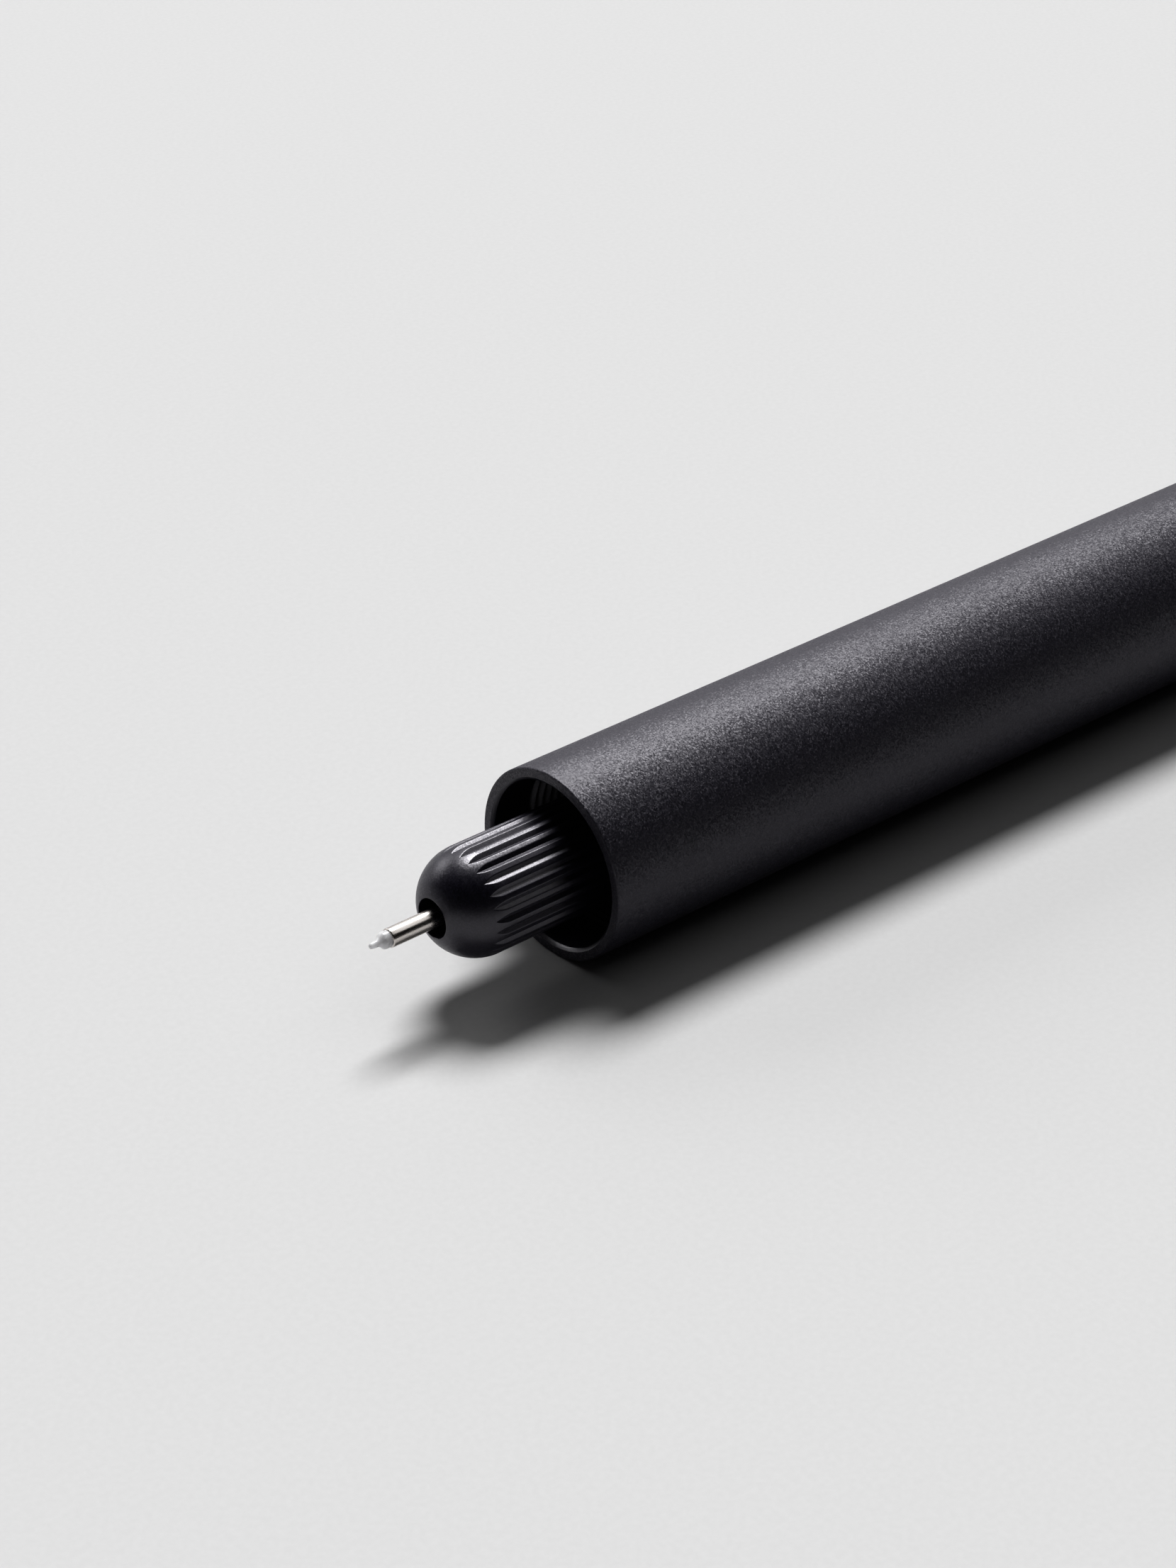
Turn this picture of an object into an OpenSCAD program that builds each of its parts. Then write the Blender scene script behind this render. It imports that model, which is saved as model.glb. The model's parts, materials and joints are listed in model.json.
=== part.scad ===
// Technical pen with a needle tip, a fluted nose that screws into the mouth of a plain
// round barrel, and a twist knob at the rear that draws the refill back into the nose.
// The pen lies on its side along X: tip towards -X, knob towards +X, resting on Z = 0.
// Stations along the pen are counted from the barrel's mouth, negative towards the tip.

/* [Barrel] */
// Outside diameter of the barrel and the knob
barrel_d = 12; // [11.8:0.1:12.6]
// Length of the barrel tube
barrel_len = 112; // [100:1:125]
// Diameter of the bore, which is also the crest of the mouth thread
bore_d = 10.4; // [10.2:0.1:10.6]
// Width of the small chamfer at the mouth's inner edge
mouth_chamfer = 0.2; // [0.05:0.05:0.3]
// Width of the broken outer edges at both ends of the barrel
edge_break = 0.12; // [0.05:0.01:0.2]

/* [Mouth thread] */
// Pitch of the fine thread in the mouth
thread_pitch = 0.6; // [0.5:0.05:0.6]
// Station of the first turn
thread_start = 2.7; // [2.4:0.1:3]
// Number of turns cut in the barrel
thread_turns = 16; // [12:1:16]
// Depth of the thread in the barrel
thread_depth = 0.32; // [0.2:0.02:0.36]

/* [Nose] */
// Diameter of the nose, and of the dome at its front
nose_d = 6.72; // [6.6:0.02:6.9]
// Station of the dome's centre
dome_station = -5.69; // [-6:0.01:-5.4]
// Diameter of the hole that the needle comes out of
nose_hole_d = 2.42; // [2.4:0.02:2.6]
// Number of straight V flutes round the nose
flute_count = 26; // [20:1:32]
// Depth of a flute
flute_depth = 0.16; // [0.1:0.01:0.3]
// Width of a flute at the surface
flute_width = 0.54; // [0.3:0.02:0.6]

/* [Needle and nib] */
// Outside diameter of the steel needle tube
needle_d = 1.17; // [1.1:0.01:1.3]
// Station of the needle tube's end
needle_station = -12; // [-12.5:0.1:-11.5]
// How far the nib stands out of the needle tube
nib_reach = 1.35; // [1:0.05:1.6]
// Diameter of the nib's writing end
nib_d = 0.36; // [0.3:0.02:0.5]

/* [Twist mechanism] */
// How far the refill draws back
stroke = 5.2; // [4.8:0.1:5.4]
// Turn of the knob that draws the refill back, in degrees
twist_angle = 180; // [150:10:180]
// Diameter of the cross pin that follows the cam slots
pin_d = 1.5; // [1.2:0.1:1.6]

/* [Knob] */
// Length of the knob behind the barrel
knob_len = 14.35; // [13:0.05:16]
// Radius of the knob's rounded rear edge
knob_round = 3.2; // [2:0.1:3.6]
// Number of flutes round the knob
knob_flute_count = 40; // [30:1:44]

/* [Hidden] */
$fn = 96;
fit = 0.05;          // radial clearance of a running fit
seat_gap = 0.01;     // radial gap of a part fixed inside another
push_gap = 0.02;     // radial gap of a push fit
over = 1;            // how far a cutter runs past the face it cuts

barrel_r = barrel_d / 2;
bore_r = bore_d / 2;
nose_r = nose_d / 2;
nose_hole_r = nose_hole_d / 2;
needle_r = needle_d / 2;
nib_station = needle_station - nib_reach;
washer_t = 0.3;
washer_inset = 0.25;         // how far the washer lies inside the barrel's surface
washer_clearance = 0.15;
thread_lip = 0.05;           // how far a thread cutter starts before the surface
thread_half_width = 0.45;    // half the width of a thread groove, in pitches
stop_ring_bore_r = 2.6;
stop_ring_t = 2;
support_station = 44;        // ring that supports the refill half way along
support_end = 50;
support_clearance = 0.07;
knob_station = barrel_len + washer_t;
knob_end = knob_station + knob_len;
total_len = knob_end - nib_station;
mouth_x = -total_len / 2 - nib_station;

// Nose section
nose_bore_r = 2.45;
nose_bore_station = -6.2;
collar_r = bore_r - fit;
collar_station = 7;
collar_end = 14.4;
collar_chamfer = 0.25;
collar_thread_turns = 8;
flute_end = 6;
seal_wire_r = 0.4;
seal_station = 12.9;
seal_groove_r = bore_r - 0.85;
seal_groove_w = 1;
seat_t = 0.5;

// Refill
nib_rod_r = 0.42;
needle_bore_r = 0.44;
nib_neck_r = 0.51;
nib_neck_len = 0.4;
nib_taper_len = 0.32;
nib_flare = 0.06;            // how much the nib widens from its end to its taper
needle_tail = -2;
holder_r = 1.15;
holder_station = -7.2;
holder_end = 8;
connector_station = 3;
connector_end = 12;
tube_r = 2.35;
tube_bore_r = 2.02;
tube_station = 9;
tube_end = barrel_len - 28;
plug_station = barrel_len - 32;
plug_end = barrel_len - 27;
vent_r = 0.4;
nib_tail = 15;

// Return spring
wire_r = 0.175;
spring_r = 1.8;
spring_turns = 9;
spring_sides = 8;
spring_steps = 20;

// Twist mechanism, from the carriage outwards
carriage_r = 3.2;
carriage_chamfer = 0.3;
carriage_station = barrel_len - 31.5;
carriage_end = barrel_len - 18.5;
guide_bore_r = carriage_r + fit;
guide_r = 3.9;
guide_station = barrel_len - 34;
guide_flange_end = barrel_len - 30.5;
guide_end = barrel_len - 8.4;
cam_bore_r = guide_r + fit;
cam_r = 4.55;
cam_station = barrel_len - 26;
cam_end = barrel_len - 3;
pin_r = pin_d / 2;
pin_station = barrel_len - 22;
pin_len = 9;
slot_r = pin_r + fit;
slot_steps = 36;
bush_bore_r = cam_r + fit;
bush_station = barrel_len - 6.4;
clip_station = barrel_len - 7.3;
clip_t = 0.8;
clip_groove_r = 4.4;

// Knob
knob_spigot_station = barrel_len - 7.8;
knob_bore_r = 2.9;
knob_bore_end = barrel_len + 4;
knob_seal_station = barrel_len - 1.3;
knob_seal_wire_r = 0.3;
knob_seal_groove_r = 3.95;
knob_seal_groove_w = 0.8;
knob_groove_station = barrel_len + 3;
knob_groove_w = 0.8;
knob_flute_depth = 0.26;
knob_flute_width = 0.6;
knob_groove_r = barrel_r - knob_flute_depth - 0.1;

// Puts a shape drawn about the Z axis, with Z counted from the mouth, onto the pen's axis
module on_axis() {
    translate([mouth_x, 0, barrel_r]) rotate([0, 90, 0]) children();
}

// Cylinder of radius r between two stations
module rod(r, from, to) {
    translate([0, 0, from]) cylinder(r = r, h = to - from);
}

// Ring or tube between two stations
module sleeve(outer_r, inner_r, from, to) {
    difference() {
        rod(outer_r, from, to);
        rod(inner_r, from - over, to + over);
    }
}

// Rod whose two end edges are broken by a chamfer
module broken_rod(r, from, to, chamfer) {
    rotate_extrude()
        polygon([[0, from], [r - chamfer, from], [r, from + chamfer],
                 [r, to - chamfer], [r - chamfer, to], [0, to]]);
}

// Ring of round section
module o_ring(centre_r, section_r, station) {
    translate([0, 0, station]) rotate_extrude() translate([centre_r, 0]) circle(r = section_r);
}

// Turns of a fine thread, cut outwards from the bore or inwards from a shaft
module thread_cuts(surface_r, depth, first, turns) {
    for (turn = [0 : turns - 1])
        translate([0, 0, first + turn * thread_pitch]) rotate_extrude()
            polygon([[surface_r - sign(depth) * thread_lip, -thread_pitch * thread_half_width],
                     [surface_r + depth, 0],
                     [surface_r - sign(depth) * thread_lip, thread_pitch * thread_half_width]]);
}

// Straight V cutters spaced evenly round a shaft, with their points on one cylinder
module flute_cuts(shaft_r, depth, width, count, from, to) {
    root_r = shaft_r - depth;
    for (flute = [0 : count - 1])
        rotate([0, 0, flute * 360 / count]) translate([root_r, 0, from])
            linear_extrude(to - from)
                polygon([[0, 0], [depth * 2, width], [depth * 2, -width]]);
}

// Radial hole at a given angle and station
module radial_hole(r, angle, station, from_r, to_r) {
    translate([0, 0, station]) rotate([0, 0, angle]) rotate([0, 90, 0])
        translate([0, 0, from_r]) cylinder(r = r, h = to_r - from_r);
}

module barrel() {
    color("#2b2b30") on_axis() difference() {
        broken_rod(barrel_r, 0, barrel_len, edge_break);
        rod(bore_r, -over, barrel_len + over);
        rotate_extrude()
            polygon([[0, -over], [bore_r + mouth_chamfer + over, -over],
                     [bore_r, mouth_chamfer], [0, mouth_chamfer]]);
        thread_cuts(bore_r, thread_depth, thread_start, thread_turns);
    }
}

module front_stop_ring() {
    color("#b8934a") on_axis() sleeve(bore_r - seat_gap, stop_ring_bore_r, collar_end,
                                      collar_end + stop_ring_t);
}

module refill_guide() {
    color("#3a3a3e") on_axis()
        sleeve(bore_r - seat_gap, tube_r + support_clearance, support_station, support_end);
}

// Fixed tube of the twist mechanism: its straight slots keep the carriage from turning
module guide_tube() {
    color("#9a9ca0") on_axis() difference() {
        union() {
            rod(guide_r, guide_station, guide_end);
            rod(bore_r - seat_gap, guide_station, guide_flange_end);
        }
        rod(guide_bore_r, guide_station - over, guide_end + over);
        for (side = [0, 180]) {
            radial_hole(slot_r, side, pin_station, guide_bore_r - over, guide_r + over);
            radial_hole(slot_r, side, pin_station + stroke, guide_bore_r - over, guide_r + over);
            rotate([0, 0, side]) translate([guide_bore_r - over, -slot_r, pin_station])
                cube([guide_r - guide_bore_r + over * 2, slot_r * 2, stroke]);
        }
    }
}

module rear_bush() {
    color("#b8934a") on_axis()
        sleeve(bore_r - seat_gap, bush_bore_r, bush_station, barrel_len);
}

module friction_washer() {
    color("#e8e8e4") on_axis()
        sleeve(barrel_r - washer_inset, cam_r + washer_clearance, barrel_len, knob_station);
}

module section_o_ring() {
    color("#17171a") on_axis()
        o_ring(seal_groove_r + push_gap + seal_wire_r, seal_wire_r, seal_station);
}

// Fluted nose, threaded collar and seal groove, turned in one piece
module nose_section() {
    color("#232328") on_axis() difference() {
        union() {
            translate([0, 0, dome_station]) sphere(r = nose_r);
            rod(nose_r, dome_station, collar_end);
            broken_rod(collar_r, collar_station, collar_end, collar_chamfer);
        }
        rod(nose_hole_r, dome_station - nose_r - over, nose_bore_station + over);
        rod(nose_bore_r, nose_bore_station, collar_end + over);
        flute_cuts(nose_r, flute_depth, flute_width, flute_count,
                   dome_station - nose_r, flute_end);
        thread_cuts(collar_r, -thread_depth, collar_station + thread_pitch,
                    collar_thread_turns);
        difference() {
            rod(collar_r + over, seal_station - seal_groove_w / 2,
                seal_station + seal_groove_w / 2);
            rod(seal_groove_r, seal_station - over, seal_station + over);
        }
    }
}

module spring_seat() {
    color("#c9ccd0") on_axis()
        sleeve(nose_bore_r - fit, holder_r + fit * 2, nose_bore_station,
               nose_bore_station + seat_t);
}

// Compression spring from the seat in the nose to the shoulder of the tip connector
function coil_point(turn, side, start, length) =
    let (angle = 360 * turn, round = 360 * side / spring_sides,
         r = spring_r + wire_r * cos(round))
    [r * cos(angle), r * sin(angle),
     start + length * turn / spring_turns + wire_r * sin(round)];

module return_spring() {
    start = nose_bore_station + seat_t + wire_r;
    length = connector_station - wire_r - start;
    rings = spring_turns * spring_steps;
    points = [for (ring = [0 : rings]) for (side = [0 : spring_sides - 1])
              coil_point(ring / spring_steps, side, start, length)];
    walls = [for (ring = [0 : rings - 1]) for (side = [0 : spring_sides - 1])
             let (a = ring * spring_sides + side,
                  b = ring * spring_sides + (side + 1) % spring_sides)
             each [[a, a + spring_sides, b], [b, a + spring_sides, b + spring_sides]]];
    first_end = [[for (side = [0 : spring_sides - 1]) side]];
    last_end = [[for (side = [spring_sides - 1 : -1 : 0]) rings * spring_sides + side]];
    color("#b9bcc2") on_axis()
        polyhedron(points = points, faces = concat(walls, first_end, last_end));
}

// Translucent plastic nib with its long tail, which reaches back into the ink reservoir
module nib() {
    tip_r = nib_d / 2;
    neck_end = needle_station - nib_neck_len;
    color("#e9ecec", 0.7) on_axis() union() {
        rod(nib_rod_r, needle_station, nib_tail);
        rod(nib_neck_r, neck_end, needle_station);
        rotate_extrude()
            polygon([[0, nib_station + tip_r], [tip_r, nib_station + tip_r],
                     [tip_r + nib_flare, neck_end - nib_taper_len], [nib_neck_r, neck_end],
                     [0, neck_end]]);
        translate([0, 0, nib_station + tip_r]) sphere(r = tip_r);
    }
}

module needle_tube() {
    bevel = 0.05;
    color("#c4c7cb") on_axis() difference() {
        rotate_extrude()
            polygon([[0, needle_station], [needle_r - bevel, needle_station],
                     [needle_r, needle_station + bevel * 2], [needle_r, needle_tail],
                     [0, needle_tail]]);
        rod(needle_bore_r, needle_station - over, needle_tail + over);
    }
}

module tip_holder() {
    nose_chamfer = 0.35;
    color("#3c3e44") on_axis() difference() {
        rotate_extrude()
            polygon([[0, holder_station], [holder_r - nose_chamfer, holder_station],
                     [holder_r, holder_station + nose_chamfer], [holder_r, holder_end],
                     [0, holder_end]]);
        rod(needle_r + seat_gap, holder_station - over, needle_tail);
        rod(needle_bore_r, needle_tail - over, holder_end + over);
    }
}

module tip_connector() {
    color("#d8d8d2") on_axis() difference() {
        union() {
            rod(tube_r, connector_station, tube_station);
            rod(tube_bore_r - push_gap, tube_station, connector_end);
        }
        rod(holder_r + seat_gap, connector_station - over, holder_end);
        rod(needle_bore_r, holder_end - over, connector_end + over);
    }
}

module reservoir_tube() {
    color("#e4e6e6") on_axis() sleeve(tube_r, tube_bore_r, tube_station, tube_end);
}

module ink_reservoir() {
    color("#1b1b22") on_axis() difference() {
        rod(tube_bore_r - push_gap * 2, connector_end, plug_station);
        rod(needle_bore_r, connector_end - over, nib_tail);
    }
}

// Plug with an air vent, which closes the rear of the refill
module refill_end_plug() {
    color("#4a4c52") on_axis() difference() {
        union() {
            rod(tube_bore_r - push_gap, plug_station, tube_end);
            rod(tube_r, tube_end, plug_end);
        }
        rod(vent_r, plug_station - over, plug_end + over);
    }
}

// Cup that holds the rear of the refill and carries the cross pin
module refill_carriage() {
    color("#cfd1d3") on_axis() difference() {
        broken_rod(carriage_r, carriage_station, carriage_end, carriage_chamfer);
        rod(tube_r + fit, carriage_station - over, plug_end);
        radial_hole(pin_r + seat_gap, 0, pin_station, -carriage_r - over, carriage_r + over);
    }
}

module carriage_pin() {
    color("#aeb1b6") on_axis() radial_hole(pin_r, 0, pin_station, -pin_len / 2, pin_len / 2);
}

module twist_knob() {
    color("#2b2b30") on_axis() difference() {
        union() {
            rod(cam_bore_r - push_gap, knob_spigot_station, cam_end);
            rod(cam_r, cam_end, knob_station);
            rotate_extrude() {
                polygon([[0, knob_station], [barrel_r - edge_break, knob_station],
                         [barrel_r, knob_station + edge_break],
                         [barrel_r, knob_end - knob_round], [0, knob_end - knob_round]]);
                translate([0, knob_end - knob_round])
                    square([barrel_r - knob_round, knob_round]);
                intersection() {
                    translate([barrel_r - knob_round, knob_end - knob_round])
                        circle(r = knob_round);
                    translate([barrel_r - knob_round, knob_end - knob_round])
                        square(knob_round);
                }
            }
        }
        rod(knob_bore_r, knob_spigot_station - over, knob_bore_end);
        difference() {
            rod(barrel_r + over, knob_groove_station, knob_groove_station + knob_groove_w);
            rod(knob_groove_r, knob_groove_station - over,
                knob_groove_station + knob_groove_w + over);
        }
        difference() {
            rod(cam_r + over, knob_seal_station - knob_seal_groove_w / 2,
                knob_seal_station + knob_seal_groove_w / 2);
            rod(knob_seal_groove_r, knob_seal_station - over, knob_seal_station + over);
        }
        flute_cuts(barrel_r, knob_flute_depth, knob_flute_width, knob_flute_count,
                   knob_groove_station + knob_groove_w / 2, knob_end + over);
    }
}

// Rotating tube whose two helical slots draw the cross pin along as the knob turns.
// Each slot is milled as a row of overlapping radial holes.
module cam_tube() {
    color("#a8813c") on_axis() difference() {
        rod(cam_r, cam_station, cam_end);
        rod(cam_bore_r, cam_station - over, cam_end + over);
        difference() {
            rod(cam_r + over, clip_station - fit, clip_station + clip_t + fit);
            rod(clip_groove_r, clip_station - over, clip_station + clip_t + over);
        }
        for (side = [0, 180]) for (step = [0 : slot_steps])
            radial_hole(slot_r, side - twist_angle * step / slot_steps,
                        pin_station + stroke * step / slot_steps,
                        cam_bore_r - over, cam_r + over);
    }
}

module cam_clip() {
    color("#8d9095") on_axis()
        sleeve(bore_r - fit * 2, clip_groove_r + push_gap, clip_station, clip_station + clip_t);
}

module knob_o_ring() {
    color("#17171a") on_axis()
        o_ring(bush_bore_r - seat_gap - knob_seal_wire_r, knob_seal_wire_r, knob_seal_station);
}

barrel();
front_stop_ring();
refill_guide();
guide_tube();
rear_bush();
friction_washer();
section_o_ring();
nose_section();
spring_seat();
return_spring();
nib();
needle_tube();
tip_holder();
tip_connector();
reservoir_tube();
ink_reservoir();
refill_end_plug();
refill_carriage();
carriage_pin();
twist_knob();
cam_tube();
cam_clip();
knob_o_ring();
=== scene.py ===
"""Looks of a technical pen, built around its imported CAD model.

The pen lies on a pale surface along X, with its needle tip towards -X. Stations along the pen are
counted in millimetres from the barrel's mouth, negative towards the tip, as in the CAD model.
"""
import json
import math

import bmesh
import bpy
import numpy as np
from mathutils import Matrix, Vector


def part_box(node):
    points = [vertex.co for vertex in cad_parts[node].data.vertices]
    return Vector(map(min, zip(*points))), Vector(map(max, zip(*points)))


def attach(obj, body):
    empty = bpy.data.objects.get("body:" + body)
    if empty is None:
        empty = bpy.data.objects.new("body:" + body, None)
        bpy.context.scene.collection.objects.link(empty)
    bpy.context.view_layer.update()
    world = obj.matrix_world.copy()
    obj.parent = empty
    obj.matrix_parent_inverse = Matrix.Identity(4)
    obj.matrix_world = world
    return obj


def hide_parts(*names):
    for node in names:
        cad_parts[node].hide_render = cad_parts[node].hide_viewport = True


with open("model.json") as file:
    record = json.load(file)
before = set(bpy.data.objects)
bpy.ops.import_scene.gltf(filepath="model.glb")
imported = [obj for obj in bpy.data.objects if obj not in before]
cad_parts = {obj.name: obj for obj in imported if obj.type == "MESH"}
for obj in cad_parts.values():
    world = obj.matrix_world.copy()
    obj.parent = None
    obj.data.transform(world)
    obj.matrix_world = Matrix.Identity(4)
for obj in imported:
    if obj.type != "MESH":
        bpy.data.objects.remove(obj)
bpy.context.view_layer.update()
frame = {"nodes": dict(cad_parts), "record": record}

MM = 0.001
TURN = 2 * math.pi

# ---------------------------------------------------------------- places, from the frame
BARREL_LOW, BARREL_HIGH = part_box("barrel")
MOUTH_X = BARREL_LOW.x
AXIS_Z = (BARREL_LOW.z + BARREL_HIGH.z) / 2
BARREL_R = (BARREL_HIGH.z - BARREL_LOW.z) / 2 / MM
BARREL_LEN = (BARREL_HIGH.x - BARREL_LOW.x) / MM
KNOB_END = (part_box("twist_knob")[1].x - MOUTH_X) / MM

# ---------------------------------------------------------------- sizes in millimetres
EDGE_BREAK = 0.12
BORE_R = 5.2
MOUTH_CHAMFER = 0.2
THREAD_PITCH = 0.6
THREAD_START = 2.7
THREAD_END = 12.0
THREAD_DEPTH = 0.32
THREAD_LEAD = 0.3
BARREL_THREAD_STEPS = 10
BARREL_COLUMNS = 256
PLAIN_BORE_START = 13.5
SMALL_BEVEL = 0.03

NOSE_R = 3.36
NOSE_HOLE_R = 1.21
NOSE_HOLE_ROUND = 0.05
DOME_STATION = -5.69
NOSE_BORE_R = 2.45
NOSE_BORE_STATION = -6.2
FLUTE_COUNT = 26
FLUTE_DEPTH = 0.16
FLUTE_WIDTH = 0.54
FLUTE_END = 6.0
FLUTE_RUN_OUT = 1.0
FLUTE_EDGE_ROUND = 0.02
FLUTE_EDGE_ANGLE = 0.007
SMALLEST_HALF_FLUTE = 0.003
COLLAR_R = 5.15
COLLAR_STATION = 7.0
COLLAR_END = 14.4
COLLAR_THREAD_START = 7.4
COLLAR_THREAD_END = 12.1
COLLAR_CHAMFER = 0.25
COLLAR_THREAD_STEPS = 8
SEAL_STATION = 12.9
SEAL_GROOVE_R = 4.35
SEAL_GROOVE_WIDTH = 1.0

NEEDLE_R = 0.585
NEEDLE_BORE_R = 0.44
NEEDLE_STATION = -12.0
NEEDLE_TAIL = -2.0
NEEDLE_END_ROUND = 0.07
NEEDLE_CHAMFER_DEPTH = 0.06
NEEDLE_CHAMFER_WIDTH = 0.05
NEEDLE_COLUMNS = 128
NIB_ROD_R = 0.42
NIB_NECK_R = 0.51
NIB_NECK_LEN = 0.4
NIB_TAPER_LEN = 0.32
NIB_TIP_R = 0.18
NIB_REACH = 1.35
NIB_TAIL = 15.0
NIB_COLUMNS = 96

KNOB_STATION = 112.3
KNOB_ROUND = 3.2
KNOB_SPIGOT_STATION = 104.2
KNOB_SPIGOT_R = 3.93
KNOB_NECK_R = 4.55
KNOB_NECK_STATION = 109.0
KNOB_BORE_R = 2.9
KNOB_BORE_END = 116.0
KNOB_SEAL_STATION = 110.7
KNOB_SEAL_GROOVE_R = 3.95
KNOB_SEAL_GROOVE_WIDTH = 0.8
KNOB_GROOVE_STATION = 115.0
KNOB_GROOVE_WIDTH = 0.8
KNOB_GROOVE_R = 5.64
KNOB_GROOVE_EDGE = 0.08
KNOB_FLAT_RING = 0.6
KNOB_FLUTE_COUNT = 40
KNOB_FLUTE_DEPTH = 0.26
KNOB_FLUTE_WIDTH = 0.6

SHARP_ANGLE = 32
ON_AXIS = 1e-7
TOO_SHORT = 1e-9

# ---------------------------------------------------------------- camera and light
CAMERA_AZIMUTH = -41.19
CAMERA_ELEVATION = 30.21
CAMERA_DISTANCE = 0.2132
AIM_RIGHT_OF_MOUTH = 2.2 * MM
AIM_ABOVE_MOUTH = 4.7 * MM
LENS = 84.4
KEY_DIRECTION = Vector((0.4, 0.48, 1.0)).normalized()
KEY_DISTANCE = 20.0
KEY_SIZE = (12.0, 7.0)
KEY_POWER = 3640.0
BACK_DIRECTION = Vector((0.25, 0.85, 0.46)).normalized()
BACK_DISTANCE = 2.4
BACK_SIZE = (2.4, 1.0)
BACK_POWER = 4.1
SIDE_DIRECTION = Vector((-0.15, 0.87, 0.47)).normalized()
SIDE_DISTANCE = 2.4
SIDE_SIZE = (1.2, 1.0)
SIDE_POWER = 7.0
TOP_DIRECTION = Vector((0.57, -0.17, 0.8)).normalized()
TOP_DISTANCE = 2.4
TOP_SIZE = (1.0, 1.9)
TOP_POWER = 5.0
WALL_LEVEL = 0.54
WALL_HEIGHT = 0.35
WALL_SPREAD = 0.4
CEILING_LEVEL = 0.011
BACKDROP_LEVEL = 0.56
FLOOR_SIZE = 6.0
BLACK_SHEEN = (0.97, 0.95, 1.0)


def make_camera():
    """Camera at the photograph's angle, aimed just above the barrel's mouth."""
    azimuth, elevation = math.radians(CAMERA_AZIMUTH), math.radians(CAMERA_ELEVATION)
    back = Vector((math.sin(azimuth) * math.cos(elevation),
                   -math.cos(azimuth) * math.cos(elevation), math.sin(elevation)))
    right = Vector((math.cos(azimuth), math.sin(azimuth), 0))
    up = back.cross(right)
    aim = Vector((MOUTH_X, 0, AXIS_Z)) + right * AIM_RIGHT_OF_MOUTH + up * AIM_ABOVE_MOUTH
    data = bpy.data.cameras.new("camera")
    data.lens = LENS
    data.sensor_width = 36
    data.clip_start = 0.005
    data.clip_end = 10
    camera = bpy.data.objects.new("camera", data)
    camera.location = aim + back * CAMERA_DISTANCE
    camera.rotation_euler = back.to_track_quat("Z", "Y").to_euler()
    bpy.context.scene.collection.objects.link(camera)
    bpy.context.scene.camera = camera


def make_softbox(name, shape, size, power, direction, distance):
    """Area light that faces the barrel's mouth, with its first side along the pen."""
    along = (Vector((1, 0, 0)) - direction * direction.x).normalized()
    across = direction.cross(along)
    data = bpy.data.lights.new(name, "AREA")
    data.shape = shape
    data.size, data.size_y = size
    data.energy = power
    light = bpy.data.objects.new(name, data)
    light.location = Vector((MOUTH_X, 0, AXIS_Z)) + direction * distance
    light.rotation_euler = Matrix((along, across, direction)).transposed().to_euler()
    light.visible_camera = False
    bpy.context.scene.collection.objects.link(light)


def make_lights():
    """A long key high behind the pen, whose shadow falls towards the viewer, and three weak
    panels, two behind and one overhead, which the barrel and the nose's dome mirror."""
    make_softbox("key", "ELLIPSE", KEY_SIZE, KEY_POWER, KEY_DIRECTION, KEY_DISTANCE)
    make_softbox("back", "RECTANGLE", BACK_SIZE, BACK_POWER, BACK_DIRECTION, BACK_DISTANCE)
    make_softbox("side", "RECTANGLE", SIDE_SIZE, SIDE_POWER, SIDE_DIRECTION, SIDE_DISTANCE)
    make_softbox("top", "RECTANGLE", TOP_SIZE, TOP_POWER, TOP_DIRECTION, TOP_DISTANCE)


def make_sky():
    """Pale studio wall behind the pen under a dark ceiling. The camera sees one even tone."""
    world = bpy.data.worlds.new("studio")
    world.use_nodes = True
    nodes, links = world.node_tree.nodes, world.node_tree.links
    place = nodes.new("ShaderNodeSeparateXYZ")
    links.new(nodes.new("ShaderNodeTexCoord").outputs["Generated"], place.inputs[0])
    height = nodes.new("ShaderNodeMapRange")
    height.interpolation_type = "SMOOTHSTEP"
    links.new(place.outputs["Z"], height.inputs["Value"])
    height.inputs["From Max"].default_value = WALL_HEIGHT
    height.inputs["To Min"].default_value = 1
    height.inputs["To Max"].default_value = 0
    wall = nodes.new("ShaderNodeMapRange")
    wall.interpolation_type = "SMOOTHSTEP"
    links.new(place.outputs["Y"], wall.inputs["Value"])
    wall.inputs["From Max"].default_value = WALL_SPREAD
    wall.inputs["To Min"].default_value = CEILING_LEVEL
    level = nodes.new("ShaderNodeMath")
    level.operation = "MULTIPLY_ADD"
    links.new(height.outputs["Result"], level.inputs[0])
    level.inputs[1].default_value = WALL_LEVEL
    level.inputs[2].default_value = CEILING_LEVEL
    links.new(level.outputs[0], wall.inputs["To Max"])
    seen = nodes.new("ShaderNodeMix")
    links.new(nodes.new("ShaderNodeLightPath").outputs["Is Camera Ray"], seen.inputs["Factor"])
    links.new(wall.outputs["Result"], seen.inputs["A"])
    seen.inputs["B"].default_value = BACKDROP_LEVEL
    sky = nodes["Background"]
    sky.inputs["Color"].default_value = (1.0, 1.0, 1.0, 1)
    links.new(seen.outputs["Result"], sky.inputs["Strength"])
    bpy.context.scene.world = world


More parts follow.
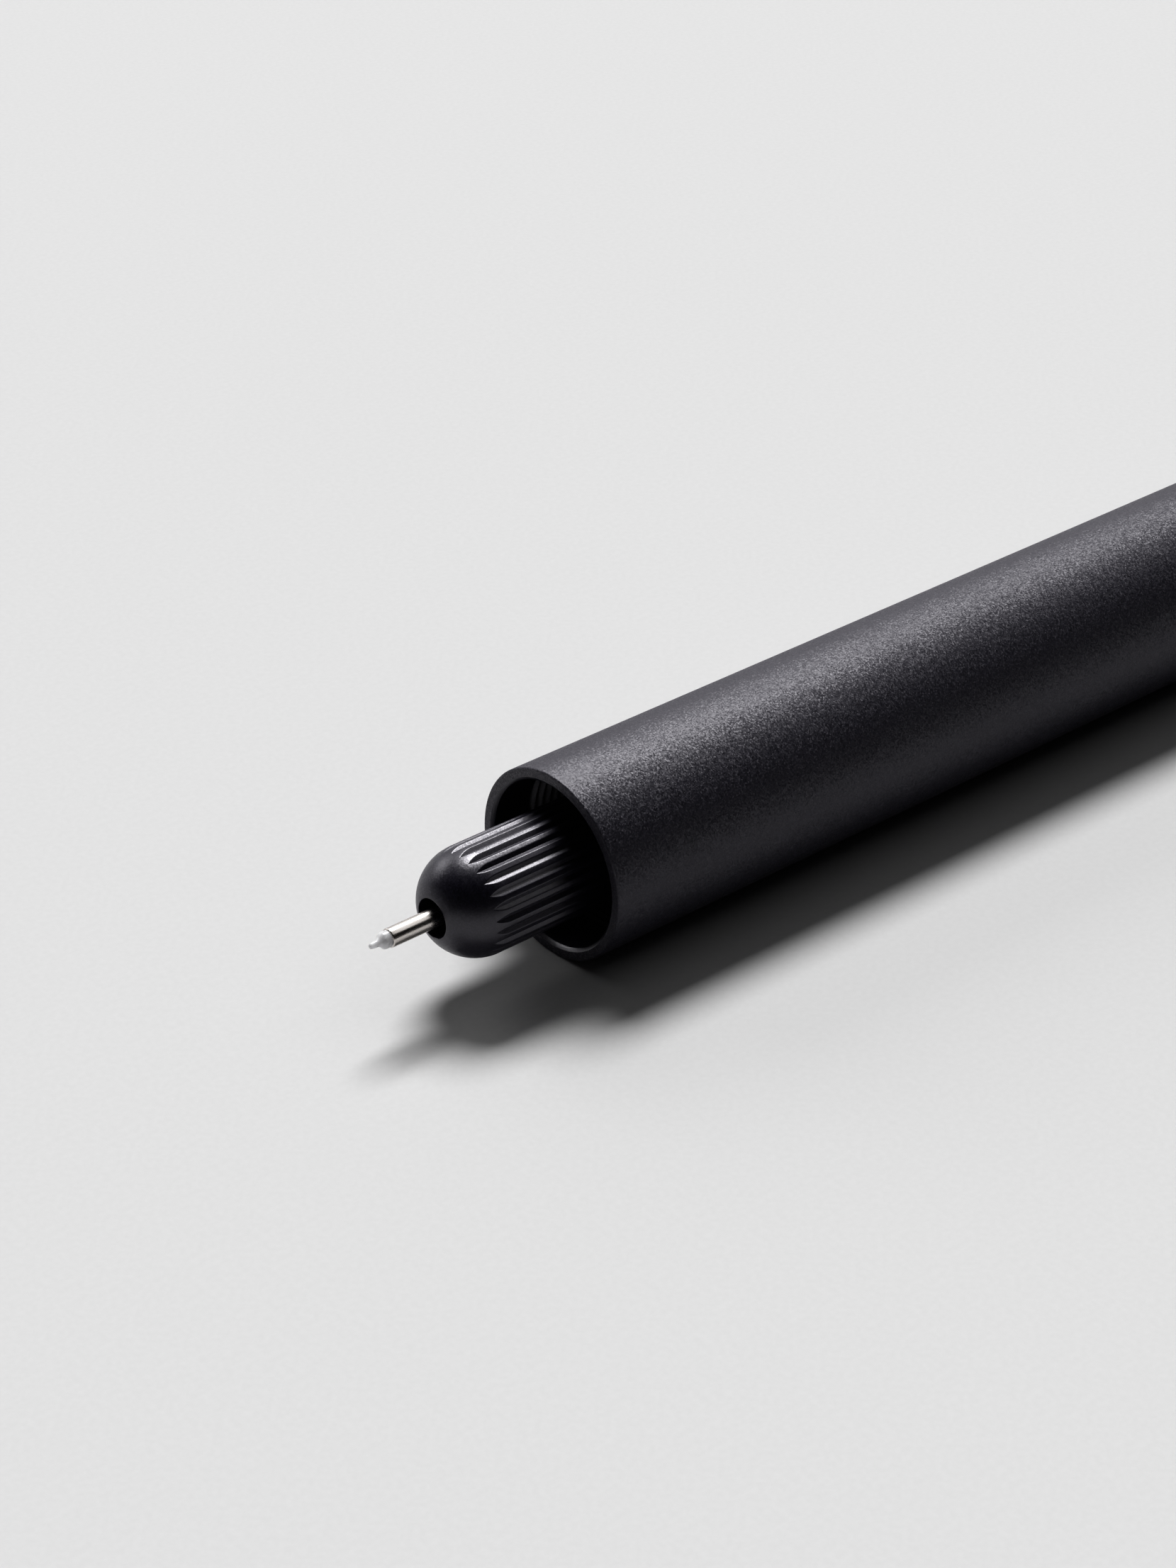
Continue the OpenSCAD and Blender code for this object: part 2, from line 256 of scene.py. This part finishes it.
# ---------------------------------------------------------------- materials
class Shader:
    """A material with a Principled shader, and short ways to add nodes to it."""

    def __init__(self, name):
        self.material = bpy.data.materials.new(name)
        self.material.use_nodes = True
        self.tree = self.material.node_tree
        self.surface = self.tree.nodes["Principled BSDF"]
        self.place = self.tree.nodes.new("ShaderNodeTexCoord").outputs["Object"]

    def link(self, value, socket):
        if hasattr(value, "links"):
            self.tree.links.new(value, socket)
        else:
            socket.default_value = value

    def stretched(self, scale):
        """Object coordinates multiplied by a vector, so that grain can run one way."""
        node = self.tree.nodes.new("ShaderNodeVectorMath")
        node.operation = "MULTIPLY"
        self.link(self.place, node.inputs[0])
        node.inputs[1].default_value = scale
        return node.outputs[0]

    def noise(self, scale, detail=2.0, rough=0.5, place=None):
        node = self.tree.nodes.new("ShaderNodeTexNoise")
        node.inputs["Scale"].default_value = scale
        node.inputs["Detail"].default_value = detail
        node.inputs["Roughness"].default_value = rough
        self.link(place or self.place, node.inputs["Vector"])
        return node.outputs["Fac"]

    def ramp(self, value, low, high, from_low=0.3, from_high=0.7):
        node = self.tree.nodes.new("ShaderNodeMapRange")
        self.link(value, node.inputs["Value"])
        node.inputs["From Min"].default_value = from_low
        node.inputs["From Max"].default_value = from_high
        node.inputs["To Min"].default_value = low
        node.inputs["To Max"].default_value = high
        return node.outputs["Result"]

    def mix(self, factor, first, second):
        node = self.tree.nodes.new("ShaderNodeMix")
        node.data_type = "RGBA"
        self.link(factor, node.inputs["Factor"])
        self.link((*first, 1) if isinstance(first, tuple) else first, node.inputs["A"])
        self.link((*second, 1) if isinstance(second, tuple) else second, node.inputs["B"])
        return node.outputs["Result"]

    def cells(self, scale):
        """Random colour that stays the same in each small cell of the surface."""
        node = self.tree.nodes.new("ShaderNodeTexVoronoi")
        node.inputs["Scale"].default_value = scale
        self.link(self.place, node.inputs["Vector"])
        return node.outputs["Color"]

    def facets(self, cells, tilt):
        """Normal that leans a little at random in each cell."""
        lean = self.tree.nodes.new("ShaderNodeVectorMath")
        lean.operation = "MULTIPLY_ADD"
        self.link(cells, lean.inputs[0])
        lean.inputs[1].default_value = (tilt, tilt, tilt)
        lean.inputs[2].default_value = (-tilt / 2, -tilt / 2, -tilt / 2)
        total = self.tree.nodes.new("ShaderNodeVectorMath")
        self.link(self.tree.nodes.new("ShaderNodeNewGeometry").outputs["Normal"],
                  total.inputs[0])
        self.link(lean.outputs[0], total.inputs[1])
        unit = self.tree.nodes.new("ShaderNodeVectorMath")
        unit.operation = "NORMALIZE"
        self.link(total.outputs[0], unit.inputs[0])
        return unit.outputs[0]

    def bump(self, height, distance, strength=1.0, under=None):
        node = self.tree.nodes.new("ShaderNodeBump")
        node.inputs["Distance"].default_value = distance
        node.inputs["Strength"].default_value = strength
        self.link(height, node.inputs["Height"])
        if under is not None:
            self.link(under, node.inputs["Normal"])
        return node.outputs["Normal"]

    def set(self, **values):
        for name, value in values.items():
            if isinstance(value, tuple) and len(value) == 3 and name.endswith(("Color", "Tint")):
                value = (*value, 1)
            self.link(value, self.surface.inputs[name.replace("_", " ")])
        return self.material


def blasted_black():
    """Matte black anodising over a bead-blasted surface: small facets that tilt at random,
    of which a few catch the light."""
    m = Shader("blasted_black")
    cells = m.cells(13500)
    patches = m.noise(90, 2.0, 0.5)
    grain = m.noise(9000, 2.0, 0.5)
    # a few random cells get a lighter base colour: painted glints standing in for the sparkle of
    # the blasted facets
    painted_glints = m.ramp(cells, 0, 1, 0.55, 1.0)
    color = m.mix(painted_glints, (0.0015, 0.0005, 0.010), (0.040, 0.037, 0.048))
    return m.set(Base_Color=color, Roughness=m.ramp(patches, 0.51, 0.55), IOR=1.8,
                 Specular_Tint=BLACK_SHEEN,
                 Normal=m.bump(grain, 0.003 * MM, under=m.facets(cells, 0.36)))


def turned_black():
    """Satin black anodising over fine turning marks, which run round the nose."""
    m = Shader("turned_black")
    cells = m.cells(16000)
    rings = m.noise(1.0, 2.0, 0.6, m.stretched((24000, 350, 350)))
    # a few random cells get a lighter base colour: painted glints standing in for sparkle on the
    # satin anodising
    painted_glints = m.ramp(cells, 0, 1, 0.4, 1.0)
    color = m.mix(painted_glints, (0.002, 0.001, 0.009), (0.020, 0.018, 0.032))
    return m.set(Base_Color=color, Roughness=m.ramp(rings, 0.33, 0.40), IOR=1.85,
                 Specular_Tint=BLACK_SHEEN,
                 Normal=m.bump(rings, 0.0035 * MM, under=m.facets(cells, 0.07)))


def polished_steel():
    m = Shader("polished_steel")
    drawn = m.noise(1.0, 2.0, 0.5, m.stretched((700, 16000, 16000)))
    color = m.mix(m.ramp(drawn, 0, 1), (0.60, 0.565, 0.54), (0.70, 0.67, 0.645))
    return m.set(Base_Color=color, Metallic=1.0, Roughness=m.ramp(drawn, 0.22, 0.30),
                 Normal=m.bump(drawn, 0.0006 * MM))


def milky_nib():
    m = Shader("milky_nib")
    cloud = m.noise(2500, 2.0, 0.5)
    color = m.mix(m.ramp(cloud, 0, 1), (0.94, 0.93, 0.98), (0.99, 0.98, 1.0))
    return m.set(Base_Color=color, Roughness=m.ramp(cloud, 0.25, 0.38), IOR=1.48,
                 Transmission_Weight=0.3, Subsurface_Weight=0.7,
                 Subsurface_Radius=(0.6, 0.6, 0.6), Subsurface_Scale=0.001)


def spring_wire():
    m = Shader("spring_wire")
    drawn = m.noise(9000, 2.0, 0.5)
    color = m.mix(m.ramp(drawn, 0, 1), (0.36, 0.36, 0.37), (0.52, 0.52, 0.53))
    return m.set(Base_Color=color, Metallic=1.0, Roughness=m.ramp(drawn, 0.25, 0.4),
                 Normal=m.bump(drawn, 0.002 * MM))


def turned_brass():
    m = Shader("turned_brass")
    rings = m.noise(1.0, 3.0, 0.6, m.stretched((9000, 400, 400)))
    color = m.mix(m.ramp(rings, 0, 1), (0.55, 0.36, 0.13), (0.72, 0.50, 0.21))
    return m.set(Base_Color=color, Metallic=1.0, Roughness=m.ramp(rings, 0.22, 0.36),
                 Normal=m.bump(rings, 0.003 * MM))


def turned_aluminium():
    m = Shader("turned_aluminium")
    rings = m.noise(1.0, 3.0, 0.6, m.stretched((9000, 400, 400)))
    color = m.mix(m.ramp(rings, 0, 1), (0.52, 0.53, 0.55), (0.68, 0.69, 0.71))
    return m.set(Base_Color=color, Metallic=1.0, Roughness=m.ramp(rings, 0.28, 0.4),
                 Normal=m.bump(rings, 0.003 * MM))


def seal_rubber():
    m = Shader("seal_rubber")
    bloom = m.noise(3000, 3.0, 0.6)
    color = m.mix(m.ramp(bloom, 0, 1), (0.012, 0.012, 0.013), (0.03, 0.03, 0.032))
    return m.set(Base_Color=color, Roughness=m.ramp(bloom, 0.55, 0.7),
                 Normal=m.bump(bloom, 0.004 * MM))


def moulded_plastic(name, dark, light, rough):
    m = Shader(name)
    texture = m.noise(4000, 3.0, 0.6)
    color = m.mix(m.ramp(texture, 0, 1), dark, light)
    return m.set(Base_Color=color, Roughness=m.ramp(texture, rough - 0.06, rough + 0.06),
                 Normal=m.bump(texture, 0.003 * MM))


def clear_tube():
    m = Shader("clear_tube")
    haze = m.noise(1.0, 2.0, 0.5, m.stretched((400, 3000, 3000)))
    color = m.mix(m.ramp(haze, 0, 1), (0.82, 0.85, 0.87), (0.93, 0.95, 0.96))
    return m.set(Base_Color=color, Roughness=m.ramp(haze, 0.12, 0.22), IOR=1.49,
                 Transmission_Weight=0.85)


def ink_fibre():
    m = Shader("ink_fibre")
    fibres = m.noise(1.0, 4.0, 0.65, m.stretched((900, 14000, 14000)))
    color = m.mix(m.ramp(fibres, 0, 1), (0.008, 0.008, 0.014), (0.03, 0.03, 0.05))
    return m.set(Base_Color=color, Roughness=m.ramp(fibres, 0.6, 0.85),
                 Normal=m.bump(fibres, 0.01 * MM))


def pale_floor():
    m = Shader("pale_floor")
    grain = m.noise(2500, 2.0, 0.5)
    color = m.mix(m.ramp(grain, 0, 1), (0.612, 0.611, 0.612), (0.628, 0.627, 0.628))
    return m.set(Base_Color=color, Roughness=1.0, Specular_IOR_Level=0.0)


# ---------------------------------------------------------------- turned shapes
def arc(center_station, center_r, radius, start, end, steps):
    """Points (station, radius) on an arc; angles in degrees, 0 towards +X and 90 outwards."""
    angles = [math.radians(start + (end - start) * i / steps) for i in range(steps + 1)]
    return [(center_station + radius * math.cos(a), center_r + radius * math.sin(a))
            for a in angles]


def turned_object(name, rings, columns, material):
    """Closed surface swept round the pen's axis.

    rings is a closed outline of (station, radius) points, and columns gives the angle and the
    radius of every point of the ring at a station and radius.
    """
    points = []
    for station, radius in rings:
        angles, reach = columns(station, radius)
        ring = np.empty((len(angles), 3))
        ring[:, 0] = MOUTH_X + station * MM
        ring[:, 1] = reach * np.cos(angles) * MM
        ring[:, 2] = AXIS_Z + reach * np.sin(angles) * MM
        points.append(ring)
    count = len(points[0])
    faces = []
    for row in range(len(rings)):
        this, following = row * count, (row + 1) % len(rings) * count
        for column in range(count):
            beside = (column + 1) % count
            faces.append((this + column, this + beside, following + beside, following + column))
    mesh = bpy.data.meshes.new(name)
    mesh.from_pydata(np.concatenate(points), [], faces)
    weld_poles(mesh)
    mesh.shade_smooth()
    mesh.set_sharp_from_angle(angle=math.radians(SHARP_ANGLE))
    mesh.materials.append(material)
    piece = bpy.data.objects.new(name, mesh)
    bpy.context.scene.collection.objects.link(piece)
    return piece


def weld_poles(mesh):
    """Merges the points of each ring that lies on the axis, and turns the faces outwards."""
    bm = bmesh.new()
    bm.from_mesh(mesh)
    on_axis = [v for v in bm.verts if math.hypot(v.co.y, v.co.z - AXIS_Z) < ON_AXIS]
    if on_axis:
        bmesh.ops.remove_doubles(bm, verts=on_axis, dist=ON_AXIS)
    bmesh.ops.dissolve_degenerate(bm, edges=bm.edges, dist=TOO_SHORT)
    bmesh.ops.recalc_face_normals(bm, faces=bm.faces)
    bm.to_mesh(mesh)
    bm.free()


def even_columns(count):
    """Columns of a plain turned shape."""
    angles = np.arange(count) * TURN / count
    return lambda station, radius: (angles, np.full(count, float(radius)))


def fluted_ring(radius, shaft_r, count, depth, width, lift=0.0):
    """Angles and radii of a ring cut by V flutes, whose edges follow the columns.

    The flutes' points lie on one cylinder under the shaft's surface, raised by lift, so on a
    dome they start as points and widen as the dome does.
    """
    root, slope = shaft_r - depth + lift, width / 2 / depth
    pitch = TURN / count
    lean = math.atan(1 / slope)
    half = math.acos(min(1, slope * root / radius / math.hypot(slope, 1))) - lean
    half = max(half, SMALLEST_HALF_FLUTE)
    edge = FLUTE_EDGE_ANGLE
    side = [0.35 * half, 0.7 * half, max(half - edge, 0.85 * half), half, half + edge,
            half + 2.5 * edge, (half + pitch) / 3]
    offsets = np.array([-s for s in side[::-1]] + [0.0] + side + [pitch / 2])
    wall = root * slope / (slope * np.cos(offsets) - np.sin(np.abs(offsets)))
    reach = softer_min(np.full(len(offsets), float(radius)), wall, FLUTE_EDGE_ROUND)
    starts = np.arange(count)[:, None] * pitch - TURN / 4
    return (starts + offsets).ravel(), np.tile(reach, count)


def softer_min(a, b, rounding):
    """The smaller of two radii, with the corner between them rounded."""
    blend = np.clip(0.5 + 0.5 * (b - a) / rounding, 0, 1)
    return b * (1 - blend) + a * blend - rounding * blend * (1 - blend)


def thread_cut(station, angles, start, end):
    """Share of the thread's depth at each angle: a V that advances one pitch in a turn."""
    phase = (station - start) / THREAD_PITCH - angles / TURN
    valley = 1 - 2 * np.abs(phase % 1 - 0.5)
    fade = np.clip(phase + 0.5, 0, 1) * np.clip((end - station) / THREAD_PITCH, 0, 1)
    return np.clip(valley * 1.15 - 0.1, 0, 1) * fade


def make_barrel(material, bore_material):
    """Tube with a flat rim, broken edges and a real helical thread inside its mouth, which is
    cut after the outside is blasted."""
    thread_low, thread_high = THREAD_START - THREAD_LEAD, THREAD_END + THREAD_LEAD
    row_step = THREAD_PITCH / BARREL_THREAD_STEPS
    thread_rows = np.arange(thread_low, thread_high + row_step / 6, row_step)
    far = BARREL_LEN
    outline = [(0.0, BORE_R + MOUTH_CHAMFER + 0.02)]
    outline += arc(EDGE_BREAK, BARREL_R - EDGE_BREAK, EDGE_BREAK, 180, 90, 5)
    outline += [(s, BARREL_R) for s in np.linspace(4, far - 4, 27)]
    outline += arc(far - EDGE_BREAK, BARREL_R - EDGE_BREAK, EDGE_BREAK, 90, 0, 5)
    outline += [(far, BORE_R + SMALL_BEVEL), (far - SMALL_BEVEL, BORE_R),
                (PLAIN_BORE_START, BORE_R)]
    outline += [(s, BORE_R) for s in thread_rows[::-1]]
    outline += [(MOUTH_CHAMFER + SMALL_BEVEL, BORE_R), (MOUTH_CHAMFER - SMALL_BEVEL, BORE_R + 0.02),
                (0.02, BORE_R + MOUTH_CHAMFER)]

    plain = even_columns(BARREL_COLUMNS)

    def threaded(station, radius):
        angles, reach = plain(station, radius)
        if radius == BORE_R and thread_low <= station <= thread_high:
            reach = reach + THREAD_DEPTH * thread_cut(station, angles, THREAD_START, THREAD_END)
        return angles, reach

    piece = turned_object("barrel_shell", outline, threaded, material)
    piece.data.materials.append(bore_material)
    for face in piece.data.polygons:
        middle = math.hypot(face.center.y, face.center.z - AXIS_Z) / MM
        if middle < BORE_R + THREAD_DEPTH:
            face.material_index = 1
    finish_piece(piece, "barrel", "barrel")


def make_nose(material):
    """Domed nose with pointed V flutes, a threaded collar and a seal groove."""
    hole_angle = math.degrees(math.asin((NOSE_HOLE_R + NOSE_HOLE_ROUND) / NOSE_R))
    hole_station = DOME_STATION - math.sqrt(NOSE_R ** 2 - NOSE_HOLE_R ** 2)
    thread_rows = np.arange(COLLAR_THREAD_START - 0.1, COLLAR_THREAD_END + 0.1,
                            THREAD_PITCH / COLLAR_THREAD_STEPS)
    seal_low = SEAL_STATION - SEAL_GROOVE_WIDTH / 2
    seal_high = SEAL_STATION + SEAL_GROOVE_WIDTH / 2
    # the hole's edge, rounded in three steps where the dome meets it
    outline = [(hole_station + 0.09, NOSE_HOLE_R), (hole_station + 0.045, NOSE_HOLE_R + 0.008),
               (hole_station + 0.018, NOSE_HOLE_R + 0.024)]
    flute_start = DOME_STATION - math.sqrt(NOSE_R ** 2 - (NOSE_R - FLUTE_DEPTH) ** 2)
    start_angle = math.degrees(math.acos((flute_start - DOME_STATION) / NOSE_R))
    outline += arc(DOME_STATION, 0, NOSE_R, 180 - hole_angle, start_angle + 1, 40)
    outline += arc(DOME_STATION, 0, NOSE_R, start_angle + 0.5, 90, 60)
    fade_start = FLUTE_END - FLUTE_RUN_OUT
    outline += [(s, NOSE_R) for s in np.linspace(DOME_STATION + 0.5, fade_start - 0.2, 18)]
    outline += [(s, NOSE_R) for s in np.linspace(fade_start, FLUTE_END, 6)]
    outline += [(COLLAR_STATION - 0.1, NOSE_R), (COLLAR_STATION, NOSE_R + 0.1),
                (COLLAR_STATION, COLLAR_R - COLLAR_CHAMFER),
                (COLLAR_STATION + COLLAR_CHAMFER, COLLAR_R)]
    outline += [(s, COLLAR_R) for s in thread_rows]
    outline += [(seal_low, COLLAR_R), (seal_low, SEAL_GROOVE_R), (seal_high, SEAL_GROOVE_R),
                (seal_high, COLLAR_R), (COLLAR_END - COLLAR_CHAMFER, COLLAR_R),
                (COLLAR_END, COLLAR_R - COLLAR_CHAMFER), (COLLAR_END, NOSE_BORE_R),
                (NOSE_BORE_STATION, NOSE_BORE_R), (NOSE_BORE_STATION, NOSE_HOLE_R)]

    def cut(station, radius):
        run_out = max(0.0, station - fade_start) / FLUTE_RUN_OUT * FLUTE_DEPTH
        angles, reach = fluted_ring(NOSE_R, NOSE_R, FLUTE_COUNT, FLUTE_DEPTH, FLUTE_WIDTH)
        if flute_start <= station < FLUTE_END and radius <= NOSE_R:
            angles, reach = fluted_ring(radius, NOSE_R, FLUTE_COUNT, FLUTE_DEPTH, FLUTE_WIDTH,
                                        run_out)
        elif radius == COLLAR_R and thread_rows[0] <= station <= thread_rows[-1]:
            turns = thread_cut(station, angles, COLLAR_THREAD_START, COLLAR_THREAD_END)
            reach = radius - THREAD_DEPTH * turns
        else:
            reach = np.full(len(angles), float(radius))
        return angles, reach

    piece = turned_object("nose_shell", outline, cut, material)
    finish_piece(piece, "nose_section", "nose")


def make_needle(material):
    """Steel tube with a lightly rounded, polished end."""
    outline = [(NEEDLE_STATION + NEEDLE_CHAMFER_DEPTH, NEEDLE_BORE_R),
               (NEEDLE_STATION, NEEDLE_BORE_R + NEEDLE_CHAMFER_WIDTH)]
    outline += arc(NEEDLE_STATION + NEEDLE_END_ROUND, NEEDLE_R - NEEDLE_END_ROUND,
                   NEEDLE_END_ROUND, 180, 90, 6)
    outline += [(s, NEEDLE_R) for s in np.linspace(NEEDLE_STATION + 0.8, NEEDLE_TAIL, 10)]
    outline += [(NEEDLE_TAIL, NEEDLE_BORE_R)]
    piece = turned_object("needle_shell", outline, even_columns(NEEDLE_COLUMNS), material)
    finish_piece(piece, "needle_tube", "refill")


def make_nib(material):
    """Milky plastic nib: a neck at the tube's end, a taper and a slender rounded point."""
    tip = NEEDLE_STATION - NIB_REACH
    neck_end = NEEDLE_STATION - NIB_NECK_LEN
    outline = [(tip, 0.0)]
    outline += arc(tip + NIB_TIP_R, 0, NIB_TIP_R, 165, 90, 6)
    outline += [(neck_end - NIB_TAPER_LEN - 0.15, NIB_TIP_R + 0.025),
                (neck_end - NIB_TAPER_LEN, NIB_TIP_R + 0.06),
                (neck_end - NIB_TAPER_LEN * 0.6, NIB_TIP_R + 0.15),
                (neck_end - 0.06, NIB_NECK_R - 0.035), (neck_end + 0.02, NIB_NECK_R),
                (NEEDLE_STATION - 0.01, NIB_NECK_R), (NEEDLE_STATION - 0.01, NIB_ROD_R),
                (NIB_TAIL, NIB_ROD_R), (NIB_TAIL, 0.0)]
    piece = turned_object("nib_shell", outline, even_columns(NIB_COLUMNS), material)
    finish_piece(piece, "nib", "refill")


def make_knob(material):
    """Twist knob with a relief groove, a fluted grip and a rounded rear end."""
    groove_end = KNOB_GROOVE_STATION + KNOB_GROOVE_WIDTH
    seal_low = KNOB_SEAL_STATION - KNOB_SEAL_GROOVE_WIDTH / 2
    seal_high = KNOB_SEAL_STATION + KNOB_SEAL_GROOVE_WIDTH / 2
    edge = KNOB_GROOVE_EDGE
    outline = [(KNOB_SPIGOT_STATION, KNOB_BORE_R), (KNOB_SPIGOT_STATION, KNOB_SPIGOT_R),
               (KNOB_NECK_STATION, KNOB_SPIGOT_R), (KNOB_NECK_STATION, KNOB_NECK_R),
               (seal_low, KNOB_NECK_R), (seal_low, KNOB_SEAL_GROOVE_R),
               (seal_high, KNOB_SEAL_GROOVE_R), (seal_high, KNOB_NECK_R),
               (KNOB_STATION, KNOB_NECK_R)]
    outline += arc(KNOB_STATION + EDGE_BREAK, BARREL_R - EDGE_BREAK, EDGE_BREAK, 180, 90, 5)
    outline += arc(KNOB_GROOVE_STATION - edge, BARREL_R - edge, edge, 90, 0, 3)
    outline += [(KNOB_GROOVE_STATION, KNOB_GROOVE_R), (groove_end, KNOB_GROOVE_R)]
    outline += arc(groove_end + edge, BARREL_R - edge, edge, 180, 90, 3)
    outline += [(s, BARREL_R) for s in np.linspace(groove_end + 1, KNOB_END - KNOB_ROUND, 8)]
    outline += arc(KNOB_END - KNOB_ROUND, BARREL_R - KNOB_ROUND, KNOB_ROUND, 89, 0, 48)
    outline += [(KNOB_END, BARREL_R - KNOB_ROUND - KNOB_FLAT_RING), (KNOB_END, 0.0),
                (KNOB_BORE_END, 0.0), (KNOB_BORE_END, KNOB_BORE_R)]

    def cut(station, radius):
        cut_here = station >= groove_end and radius > BARREL_R - KNOB_FLUTE_DEPTH
        angles, reach = fluted_ring(radius if cut_here else BARREL_R, BARREL_R,
                                    KNOB_FLUTE_COUNT, KNOB_FLUTE_DEPTH, KNOB_FLUTE_WIDTH)
        if not cut_here:
            reach = np.full(len(angles), float(radius))
        return angles, reach

    piece = turned_object("knob_shell", outline, cut, material)
    finish_piece(piece, "twist_knob", "knob")


def finish_piece(piece, node, body):
    """The piece stands for a CAD node, whose own mesh it hides, and moves with a body."""
    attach(piece, body)
    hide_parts(node)


def dress_cad_nodes(materials):
    """Gives the CAD nodes that stay visible the material of their slot."""
    replaced = {"barrel", "nose_section", "needle_tube", "nib", "twist_knob"}
    slots = {s["node"]: s["material_slot"] for s in frame["record"]["subparts"]}
    for name, piece in frame["nodes"].items():
        if name not in replaced:
            piece.data.materials.clear()
            piece.data.materials.append(materials[slots[name]])


def make_floor():
    bpy.ops.mesh.primitive_grid_add(x_subdivisions=8, y_subdivisions=8, size=FLOOR_SIZE)
    floor = bpy.context.object
    floor.name = "floor"
    floor.data.materials.append(pale_floor())


make_camera()
make_lights()
make_sky()
make_floor()
bpy.context.scene.view_settings.view_transform = "Standard"
bpy.context.scene.view_settings.look = "High Contrast"

MATERIALS = {
    "anodised_black": blasted_black(),
    "satin_black": turned_black(),
    "needle_steel": polished_steel(),
    "steel": spring_wire(),
    "brass": turned_brass(),
    "aluminium": turned_aluminium(),
    "seal_rubber": seal_rubber(),
    "nib_plastic": milky_nib(),
    "dark_plastic": moulded_plastic("dark_plastic", (0.03, 0.03, 0.034), (0.07, 0.07, 0.075), 0.5),
    "white_plastic": moulded_plastic("white_plastic", (0.7, 0.7, 0.68), (0.82, 0.82, 0.8), 0.4),
    "clear_plastic": clear_tube(),
    "ink_fibre": ink_fibre(),
}
make_barrel(MATERIALS["anodised_black"], MATERIALS["satin_black"])
make_nose(MATERIALS["satin_black"])
make_needle(MATERIALS["needle_steel"])
make_nib(MATERIALS["nib_plastic"])
make_knob(MATERIALS["anodised_black"])
dress_cad_nodes(MATERIALS)
